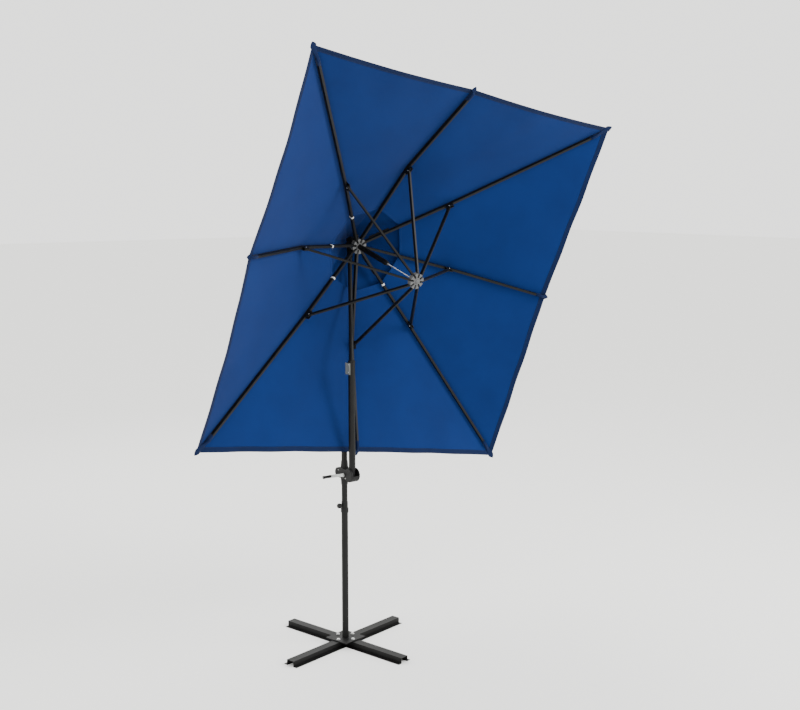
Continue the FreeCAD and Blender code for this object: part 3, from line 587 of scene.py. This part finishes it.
# one rib's part of the cover with its hem, vent band, seam tape, thread and corner pocket
def makeCover(index):
    name, number, place = ribNames[index], index + 1, ribPlaces[index]
    body = "rib_%s" % name
    rows = [[coverPoint(index, side, 2 * j / cover["rows"]) for side in sides]
            for j in range(cover["rows"] + 1)]
    panel = clothPiece("cover_%s" % name, rows, cover["thick"], place, finishes["canopy_fabric"])
    overReach = [hemReach(index, side, -hem["over"]) for side in sides]
    inReach = [hemReach(index, side, hem["wide"]) for side in sides]
    hemRows = [[coverPoint(index, side, a + (b - a) * j / hem["steps"])
                for side, a, b in zip(sides, inReach, overReach)] for j in range(hem["steps"] + 1)]
    ventEnd = ventReach(index, hem["ventWide"])
    ventRows = [[coverPoint(index, side, ventEnd * j / hem["ventSteps"] - hem["ventOver"]) for side in sides]
                for j in range(hem["ventSteps"] + 1)]
    binding = clothPiece("hem_%s" % name, hemRows, hem["thick"], place, hemCloth)
    ventBand = clothPiece("vent_edge_%s" % name, ventRows, hem["thick"], place,
                          finishes["canopy_fabric"])
    spans = [-seam["half"], -seam["half"] / 3, seam["half"] / 3, seam["half"]]
    reaches = [seam["start"] + seam["long"] * j / seam["steps"] for j in range(seam["steps"] + 1)]
    seamRows = [[besideRib(index, offset, reach, seam["rise"]) for offset in spans]
                for reach in reaches]
    strip = clothPiece("seam_%s" % name, seamRows, seam["thick"], place, hemCloth)
    face = hem["thick"] / 2
    threadLines = []
    for distance in (hem["stitchInset"], hem["wide"] - hem["stitchInset"]):
        for lift in (face, -face):
            threadLines.append([place @ coverPoint(index, side, hemReach(index, side, distance), lift)
                                for side in sides])
    for lift in (face, -face):
        threadLines.append([place @ coverPoint(index, side, ventEnd * hem["ventStitch"], lift)
                            for side in sides])
    for offset in (-seam["stitchOffset"], seam["stitchOffset"]):
        threadLines.append([place @ besideRib(index, offset, reach, seam["rise"] + seam["thick"] / 2)
                            for reach in reaches])
    thread = stitchPiece("stitching_%s" % name, threadLines, stitch)
    ear = makePocket(index)
    for piece in (panel, binding, ventBand, strip, thread, ear):
        wearOn(piece, body)
    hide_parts("canopy_panel_%d" % number)
    # the cover, hem, vent band and stitching each get their own copy of their mesh, and the cover's flat cut area
    # is worked out but not used
    for piece in (panel, binding, ventBand, thread):
        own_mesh(piece)
    cutArea(index)
    if name in tie["ribs"]:
        makeTie(index)


# a sewn sleeve over the rib's tip that ends in a small point past the hem
def makePocket(index):
    points = nodePoints("rib_%d" % (index + 1), ribPlaces[index])
    tipR = max(point.x for point in points)
    tip = [point for point in points if point.x > tipR - pocket["endLong"]]
    half = max(abs(point.y) for point in tip)
    lowEnd = min(point.z for point in tip)
    bendR, bendZ = lines[index][1]
    hemR, hemZ = lines[index][2]
    fall = (hemZ - bendZ) / (hemR - bendR)
    grow, mouth, thin, droop = pocket["grow"], pocket["mouth"], pocket["thin"], pocket["droop"]

    # a rounded box across the rib
    def section(radius, wide, low, high):
        corner = min(wide, (high - low) / 2) * pocket["roundShare"]
        around = []
        for cy, cz, start in ((1, 1, 0), (-1, 1, 90), (-1, -1, 180), (1, -1, 270)):
            for step in (0, 45, 90):
                angle = math.radians(start + step)
                middle = high - corner if cz > 0 else low + corner
                around.append(Vector((radius, cy * (wide - corner) + corner * math.cos(angle),
                                      middle + corner * math.sin(angle))))
        return around

    def clothAt(radius):
        return hemZ + (radius - hemR) * fall - pocket["under"]

    startR = tipR - pocket["inside"]
    beforeR = tipR - pocket["beforeTip"]
    pastR = tipR + pocket["pastTip"]
    startLow = clothAt(startR) - pocket["throat"] - (half + grow)
    sections = [section(startR, half + grow, startLow, clothAt(startR)),
                section(beforeR, half + grow, lowEnd - grow, clothAt(beforeR)),
                section(pastR, half, lowEnd + pocket["floor"], clothAt(pastR))]
    step = (hemR - pocket["hemStart"] - pastR) / 2
    if step > pocket["stepFrom"]:
        sections.append(section(pastR + step, (half + mouth) / 2, clothAt(tipR + step) - pocket["stepDeep"],
                                clothAt(tipR + step)))
    hemTop = clothAt(hemR)
    sections += [section(hemR - pocket["hemInset"], mouth, hemTop - thin, hemTop),
                 section(hemR + pocket["tip"] / 2, mouth * pocket["tipShare"], hemTop - thin - droop,
                         hemTop - droop),
                 section(hemR + pocket["tip"], pocket["tipHalf"], hemTop - thin - 2 * droop,
                         hemTop - pocket["tipDrop"])]
    return loftPiece("pocket_%s" % ribNames[index], sections, ribPlaces[index], hemCloth)


# a white tape round the rib that holds the cover to it
def makeTie(index):
    name = ribNames[index]
    ribFrame = ribPlaces[index] @ Matrix.Translation((pivotRadius, 0, 0)) @ Matrix.Rotation(ribSlope, 4, "Y")
    points = nodePoints("rib_%d" % (index + 1), ribFrame)
    near = [point for point in points if point.x < tie["along"]]
    half = max(abs(point.y) for point in near) + tie["gap"]
    deep = max(point.z for point in near) + tie["gap"]
    sections = []
    wideOut, deepOut = tie["sideBulge"], tie["deepBulge"]
    for y, z in ((1, 1), (0, deepOut), (-1, 1), (-wideOut, 0),
                 (-1, -1), (0, -deepOut), (1, -1), (wideOut, 0)):
        out = Vector((0, y, z)).normalized() * tie["thick"]
        base = Vector((0, y * half, z * deep))
        ends = [(-tie["wide"] / 2, 0), (tie["wide"] / 2, 0), (tie["wide"] / 2, 1), (-tie["wide"] / 2, 1)]
        sections.append([base + Vector((tie["along"] + along, 0, 0)) + out * grow for along, grow in ends])
    band = loftPiece("tie_%s" % name, sections, ribFrame, tieCloth, bandLoop=True)
    wearOn(band, "rib_%s" % name)


for index in range(ribCount):
    makeCover(index)
print("cover: 8 parts")


# the vent cap above, with its own seams and hem
cap = dict(hole=0.0068, sag=0.007, thick=0.0012, hemWide=0.02, hemThick=0.0034, hemOver=1.006, hemSteps=3,
           rows=18, perGore=14, peakDrop=0.002, sameLine=0.001, stitchInset=0.006, seamStart=0.08,
           seamLong=0.86, seamSteps=20)
capPoints = nodePoints("top_canopy", canopyPlace)
capPeak = max(point.z for point in capPoints)
rimR = max(math.hypot(point.x, point.y) for point in capPoints)
rimPoints = [point for point in capPoints if math.hypot(point.x, point.y) > rimR - cap["sameLine"]]
rimZ = max(point.z for point in rimPoints) - cap["thick"]


# turn is a share of a full turn about the peak, and share runs 0 at the hole to 1 at the rim
def capPoint(turn, share, lift=0.0):
    gore = (turn * ribCount) % 1.0
    edge = rimR * math.cos(ribTurn / 2) / math.cos((gore - 0.5) * ribTurn)
    radius = cap["hole"] + (edge - cap["hole"]) * share
    angle = 2 * math.pi * turn
    height = capPeak - cap["peakDrop"] + (rimZ - capPeak) * share
    height -= cap["sag"] * math.sin(math.pi * gore) * share
    return Vector((radius * math.cos(angle), radius * math.sin(angle), height + lift))


capTurns = [i / (ribCount * cap["perGore"]) for i in range(ribCount * cap["perGore"])]
capRows = [[capPoint(turn, j / cap["rows"]) for turn in capTurns] for j in range(cap["rows"] + 1)]
capSheet = clothPiece("vent_cap", capRows, cap["thick"], canopyPlace, finishes["canopy_fabric"],
                      around=True)
capHemStart = 1 - cap["hemWide"] / rimR
capHemLong = cap["hemOver"] - capHemStart
capHemRows = [[capPoint(turn, capHemStart + capHemLong * j / cap["hemSteps"]) for turn in capTurns]
              for j in range(cap["hemSteps"] + 1)]
capHem = clothPiece("vent_cap_hem", capHemRows, cap["hemThick"], canopyPlace, finishes["canopy_fabric"],
                    around=True)
capThreads = []
for share in (capHemStart + cap["stitchInset"], 1 - cap["stitchInset"]):
    for lift in (cap["hemThick"] / 2, -cap["hemThick"] / 2):
        capThreads.append([canopyPlace @ capPoint(turn, share, lift) for turn in capTurns + capTurns[:1]])
for index in range(ribCount):
    shares = [cap["seamStart"] + cap["seamLong"] * j / cap["seamSteps"] for j in range(cap["seamSteps"] + 1)]
    capThreads.append([canopyPlace @ capPoint(index / ribCount, share, cap["thick"] / 2) for share in shares])
capThread = stitchPiece("vent_cap_stitching", capThreads, stitch)
for piece in (capSheet, capHem, capThread):
    wearOn(piece, "boom")
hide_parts("top_canopy")
print("vent cap")

finialPoints = nodePoints("finial", canopyPlace)
postLow = min(point.z for point in finialPoints)
finial = dict(post=0.006, disc=0.014, discThick=0.006, edge=0.0015, neck=0.006, neckUp=0.0068, ball=0.011,
              ballUp=0.013, ballFrom=0.0075, steps=12)


# a post up to the cap's peak, a flat disc on the cloth and a ball on a neck
def finialProfile():
    disc, edge, discTop = finial["disc"], finial["edge"], capPeak + finial["discThick"]
    rows = [(finial["post"], postLow), (finial["post"], capPeak), (disc - 0.001, capPeak),
            (disc, capPeak + edge), (disc, discTop - edge), (disc - edge, discTop),
            (finial["neck"], capPeak + finial["neckUp"])]
    for step in range(2, finial["steps"]):
        angle = math.radians(-90 + 180 * step / finial["steps"])
        height = capPeak + finial["ballUp"] + finial["ball"] * math.sin(angle)
        if height > capPeak + finial["ballFrom"]:
            rows.append((finial["ball"] * math.cos(angle), height))
    return rows


wearOn(turnedPiece("finial_knob", finialProfile(), hubAt, peakWay, finishes["black_plastic"]), "boom",
       ["finial"])


# a fluted hand knob: its stem, a rounded skirt and a dished face
def knobProfile(stem, stemFrom, headFrom, headTo, wide):
    return [(stem, stemFrom), (stem, headFrom), (wide * 0.62, headFrom), (wide * 0.8, headFrom + 0.0025),
            (wide * 0.97, headFrom + 0.006), (wide, headFrom + 0.009), (wide, headTo - 0.006),
            (wide * 0.96, headTo - 0.0025), (wide * 0.86, headTo - 0.0005), (wide * 0.74, headTo),
            (wide * 0.62, headTo - 0.0015), (wide * 0.3, headTo - 0.0022)]


lockLow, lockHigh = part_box("lock_knob")
lock = dict(stem=0.005, headLong=0.026, flutes=10, fluteDeep=0.0022, fluteShare=0.9, steps=120)
lockWide = (lockHigh.z - lockLow.z) / 2
lockLong = lockHigh.x - lockLow.x
lockStart = Vector((lockHigh.x, (lockLow.y + lockHigh.y) / 2, (lockLow.z + lockHigh.z) / 2))
lockProfile = knobProfile(lock["stem"], 0, lockLong - lock["headLong"], lockLong, lockWide)
lockGrip = turnedPiece("lock_knob_grip", lockProfile, lockStart, (-1, 0, 0), finishes["black_plastic"],
                       flutes=lock["flutes"], fluteDeep=lock["fluteDeep"],
                       fluteFrom=lockWide * lock["fluteShare"], steps=lock["steps"])
wearOn(lockGrip, "lock_knob", ["lock_knob"])
tiltKnob = dict(stem=0.004, inside=0.015, headFrom=0.002, headTo=0.026, wide=0.015, flutes=8, fluteDeep=0.002,
                fluteShare=0.9, steps=96)
tiltProfile = knobProfile(tiltKnob["stem"], -tiltKnob["inside"], tiltKnob["headFrom"], tiltKnob["headTo"],
                          tiltKnob["wide"])
tiltGrip = turnedPiece("tilt_knob_grip", tiltProfile, jointAt("head_knob_turn"),
                       joints["head_knob_turn"]["axis"], finishes["black_plastic"], flutes=tiltKnob["flutes"],
                       fluteDeep=tiltKnob["fluteDeep"], fluteFrom=tiltKnob["wide"] * tiltKnob["fluteShare"],
                       steps=tiltKnob["steps"])
wearOn(tiltGrip, "head_knob", ["head_knob"])

gripLow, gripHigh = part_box("crank_grip")
gripWide = (gripHigh.z - gripLow.z) / 2
gripLong = gripHigh.x - gripLow.x
gripStart = Vector((gripHigh.x, (gripLow.y + gripHigh.y) / 2, (gripLow.z + gripHigh.z) / 2))
grip = dict(bore=0.00505, start=0.004, end=0.005, waist=0.0012, ringCut=0.0006, steps=24, ringEvery=3)


# a slightly waisted handle with a shallow cut at every third step
def gripProfile():
    rows = [(gripWide * 0.7, 0), (gripWide * 0.93, 0.0012), (gripWide, grip["start"])]
    for step in range(1, grip["steps"]):
        at = grip["start"] + (gripLong - grip["start"] - grip["end"]) * step / grip["steps"]
        waist = grip["waist"] * math.sin(math.pi * step / grip["steps"])
        cut = grip["ringCut"] if step % grip["ringEvery"] == 0 else 0.0
        rows.append((gripWide - waist - cut, at))
    return rows + [(gripWide, gripLong - grip["end"]), (gripWide * 0.93, gripLong - 0.0018),
                   (gripWide * 0.7, gripLong)]


handle = turnedPiece("crank_handle", gripProfile(), gripStart, (-1, 0, 0), finishes["black_plastic"],
                     bore=grip["bore"])
wearOn(handle, "crank_grip", ["crank_grip"])

collarLow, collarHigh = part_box("pole_collar")
collarWide = (collarHigh.x - collarLow.x) / 2
collarTall = collarHigh.z - collarLow.z
poleWide = (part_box("base_pole")[1].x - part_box("base_pole")[0].x) / 2
collar = dict(edge=0.0012, edgeTall=0.0008, groove=0.0008, grooveHalf=0.0016, end=0.003, grooves=6)
end = collar["end"]
collarRows = [(collarWide - end, 0), (collarWide - collar["edge"], collar["edgeTall"]), (collarWide, end)]
for step in range(1, collar["grooves"]):
    height = end + (collarTall - 2 * end) * step / collar["grooves"]
    collarRows += [(collarWide, height - collar["grooveHalf"]), (collarWide - collar["groove"], height),
                   (collarWide, height + collar["grooveHalf"])]
collarRows += [(collarWide, collarTall - end), (collarWide - collar["edge"], collarTall - collar["edgeTall"]),
               (collarWide - end, collarTall)]
wearOn(turnedPiece("pole_collar_ring", collarRows, Vector((0, 0, collarLow.z)), (0, 0, 1),
                   finishes["black_plastic"], bore=poleWide), "root", ["pole_collar"])

capLow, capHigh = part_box("mast_cap")
capWide = (capHigh.x - capLow.x) / 2
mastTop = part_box("mast_tube")[1].z - capLow.z
mastCapRows = [(capWide - 0.0035, 0), (capWide - 0.0031, mastTop), (capWide, mastTop),
               (capWide, mastTop + 0.003), (capWide * 0.95, mastTop + 0.0046),
               (capWide * 0.8, mastTop + 0.0056), (capWide * 0.4, capHigh.z - capLow.z)]
wearOn(turnedPiece("mast_top_cap", mastCapRows, Vector((0, 0, capLow.z)), (0, 0, 1),
                   finishes["black_plastic"]), "mast", ["mast_cap"])
print("turned pieces")

bolt = {"Head radius": 0.0098, "Head height": 0.0055, "Sides": 6, "Washer radius": 0.0125,
        "Washer height": 0.0015, "Dome": 0.0008, "Finish": finishes["zinc_steel"]}
rivet = {"Head radius": 0.0042, "Head height": 0.0006, "Sides": 24, "Washer radius": 0.005,
         "Washer height": 0.0005, "Dome": 0.002, "Finish": finishes["zinc_steel"]}
fastener = dict(apart=0.03, sunk=0.0015)


# the middles of a node's separate small solids: points this near the first one found belong to the same solid
def solidMiddles(node):
    groups = []
    for vertex in frame["nodes"][node].data.vertices:
        for group in groups:
            if (vertex.co - group[0]).length < fastener["apart"]:
                group.append(vertex.co)
                break
        else:
            groups.append([vertex.co])
    boxes = [[(min(p[k] for p in group), max(p[k] for p in group)) for k in range(3)] for group in groups]
    return [Vector([(low + high) / 2 for low, high in box]) for box in boxes]


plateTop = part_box("base_flange")[1].z
boltSpots = [(Vector((middle.x, middle.y, plateTop)), Vector((0, 0, 1)))
             for middle in solidMiddles("base_bolts")]
wearOn(fastenerPiece("base_bolt_heads", boltSpots, bolt), "root", ["base_bolts"])
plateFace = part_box("bracket_rivets")[1].x
rivetSpots = [(Vector((plateFace, middle.y, middle.z)), Vector((-1, 0, 0)))
              for middle in solidMiddles("bracket_rivets")]
wearOn(fastenerPiece("bracket_rivet_heads", rivetSpots, rivet), "boom", ["bracket_rivets"])
for index, name in enumerate(ribNames):
    pinAt = jointAt("strut_%s_fold" % name)
    way = Vector(joints["strut_%s_fold" % name]["axis"])
    ribSides = [abs(point.y) for point in nodePoints("rib_%d" % (index + 1), ribPlaces[index])]
    reach = max(ribSides) - fastener["sunk"]
    spots = [(pinAt + way * reach * turn, way * turn) for turn in (1, -1)]
    wearOn(fastenerPiece("joint_rivets_%s" % name, spots, rivet), "rib_%s" % name)
print("fasteners:", len(boltSpots), len(rivetSpots), "and joint rivets")

# the cord is shown by two lengths: one moves with the runner, and its spare length goes up inside the stub.
# the other stays on the boom, inside the first at rest, and shows when the canopy folds
cord = dict(across=0.005, coreAcross=0.0044, topGap=0.002, below=0.022, above=0.01)
runnerTop = max(point.z for point in nodePoints("runner", canopyPlace))
stubPoints = [point.z for point in nodePoints("stub_tube", canopyPlace)]
plugLow = min(point.z for point in nodePoints("stub_plug", canopyPlace))
cordTop = max(stubPoints) - cord["topGap"]
coreLow, coreHigh = runnerTop - cord["below"], plugLow + cord["above"]


def cordPiece(name, low, high, across):
    line = bpy.data.curves.new(name, "CURVE")
    line.dimensions = "3D"
    line.bevel_depth = across / 2
    line.bevel_resolution = 4
    line.use_fill_caps = True
    spline = line.splines.new("NURBS")
    spline.points.add(2)
    for point, height in zip(spline.points, (low, (low + high) / 2, high)):
        point.co = (*(canopyPlace @ Vector((0, 0, height))), 1)
    spline.order_u = 3
    spline.use_endpoint_u = True
    line.materials.append(finishes["pale_cord"])
    piece = bpy.data.objects.new(name, line)
    bpy.context.scene.collection.objects.link(piece)
    return piece


pull = cordPiece("runner_pull_cord", runnerTop, cordTop, cord["across"])
core = cordPiece("stub_cord", coreLow, coreHigh, cord["coreAcross"])
wearOn(pull, "runner", ["runner_cord"])
wearOn(core, "boom")
print("cord")

# floor, light and camera
studio = dict(floor=(0.9, 0.9, 0.885), floorRough=0.9, floorHalf=60.0, sky=(0.97, 0.97, 0.95), skyPower=2.1,
              lens=53.55, sensor=36.0, azimuth=-37.0, down=8.0, camera=(-4.415, -6.481, 3.1))
lamps = [("keyLight", (4.5, -5.0, 5.5), 430, 3.0), ("fillLight", (-6.5, -3.0, 3.5), 60, 4.0),
         ("backLight", (1.5, 6.0, 5.5), 160, 4.0)]
floorMesh = bpy.data.meshes.new("floor")
far = studio["floorHalf"]
floorCorners = [(-far, -far, 0), (far, -far, 0), (far, far, 0), (-far, far, 0)]
floorMesh.from_pydata(floorCorners, [], [(0, 1, 2, 3)])
floor = bpy.data.objects.new("floor", floorMesh)
bpy.context.scene.collection.objects.link(floor)
floorPaint = bpy.data.materials.new("floorPaint")
floorPaint.use_nodes = True
floorShader = floorPaint.node_tree.nodes["Principled BSDF"]
floorShader.inputs["Base Color"].default_value = (*studio["floor"], 1)
floorShader.inputs["Roughness"].default_value = studio["floorRough"]
floorMesh.materials.append(floorPaint)

world = bpy.data.worlds.new("studio")
bpy.context.scene.world = world
world.use_nodes = True
sky = world.node_tree.nodes["Background"]
sky.inputs["Color"].default_value = (*studio["sky"], 1)
sky.inputs["Strength"].default_value = studio["skyPower"]


def addLight(name, place, target, power, wide):
    lamp = bpy.data.lights.new(name, "AREA")
    lamp.energy = power
    lamp.size = wide
    holder = bpy.data.objects.new(name, lamp)
    holder.location = place
    holder.rotation_euler = (Vector(target) - Vector(place)).to_track_quat("-Z", "Y").to_euler()
    bpy.context.scene.collection.objects.link(holder)


middle = (cadBox[0] + cadBox[1]) / 2
for name, place, power, wide in lamps:
    addLight(name, place, middle, power, wide)

lens = bpy.data.cameras.new("camera")
lens.lens = studio["lens"]
lens.sensor_width = studio["sensor"]
camera = bpy.data.objects.new("camera", lens)
turn, down = math.radians(studio["azimuth"]), math.radians(studio["down"])
look = -Vector((math.sin(turn) * math.cos(down), -math.cos(turn) * math.cos(down), math.sin(down)))
camera.location = studio["camera"]
camera.rotation_euler = look.to_track_quat("-Z", "Y").to_euler()
bpy.context.scene.collection.objects.link(camera)
bpy.context.scene.camera = camera
